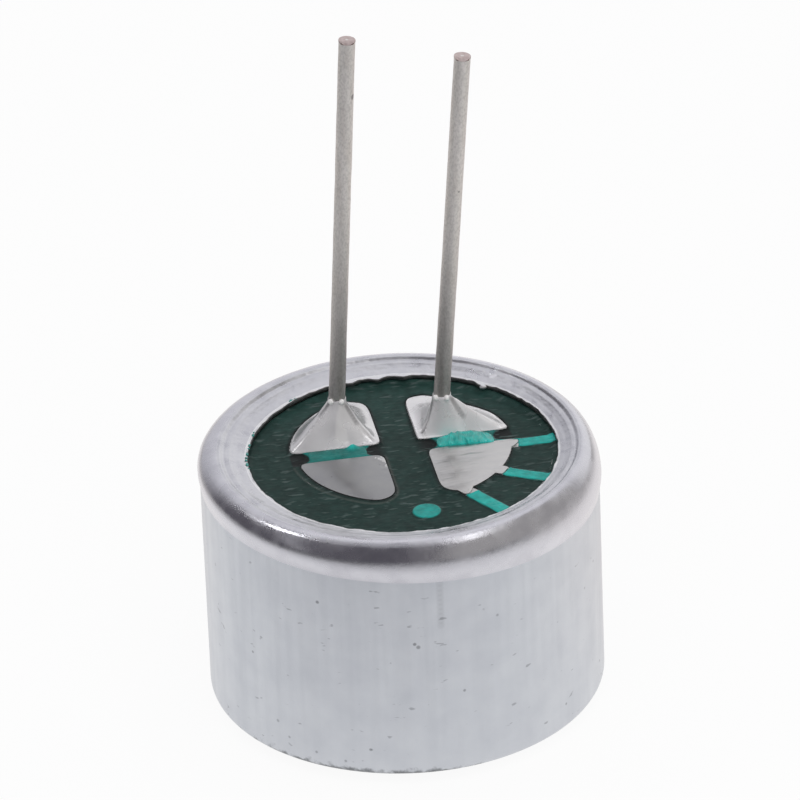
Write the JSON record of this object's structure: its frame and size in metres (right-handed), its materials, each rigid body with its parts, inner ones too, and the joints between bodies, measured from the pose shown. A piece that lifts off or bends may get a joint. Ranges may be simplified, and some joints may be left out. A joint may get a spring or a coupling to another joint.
{
  "type": "electret microphone capsule",
  "caption": "Round electret microphone capsule: crimped aluminium case with a felt front, and a circuit board with soldered straight wire leads at the back.",
  "frame": {"origin": "centre of the felt's outer face, on the case's axis", "axes": "+Z along the case's axis from the felt front towards the leads, +X along the row of lead feet from the output lead to the ground lead"},
  "size_m": [0.0098, 0.0098, 0.017],
  "materials": {
    "case_metal": "satin drawn aluminium",
    "felt": "black felt",
    "ring_brass": "turned brass",
    "film": "metallised film",
    "spacer_film": "amber film",
    "electret": "charged polymer foil",
    "plate_brass": "punched brass",
    "holder_plastic": "moulded plastic",
    "gate_brass": "rolled brass",
    "board_lacquer": "dark green lacquer on laminate",
    "copper": "bare copper",
    "transistor_plastic": "moulded epoxy",
    "leg_tin": "tinned strip",
    "land_lacquer": "teal lacquer over copper",
    "solder": "bright solder",
    "lead_wire": "tinned wire"
  },
  "bodies": {
    "root": {"case_can": "case_metal", "dust_felt": "felt", "diaphragm_ring": "ring_brass", "diaphragm_film": "film", "spacer_ring": "spacer_film", "electret_foil": "electret", "back_plate": "plate_brass", "plate_holder": "holder_plastic", "gate_ring": "gate_brass", "circuit_board": "board_lacquer", "inner_copper": "copper", "board_plugs": "copper", "transistor_body": "transistor_plastic", "transistor_legs": "leg_tin", "output_land": "land_lacquer", "ground_land": "land_lacquer", "index_dot": "land_lacquer", "output_tinning": "solder", "ground_tinning": "solder", "output_solder": "solder", "ground_solder": "solder", "output_lead": "lead_wire", "ground_lead": "lead_wire"}
  },
  "joints": []
}
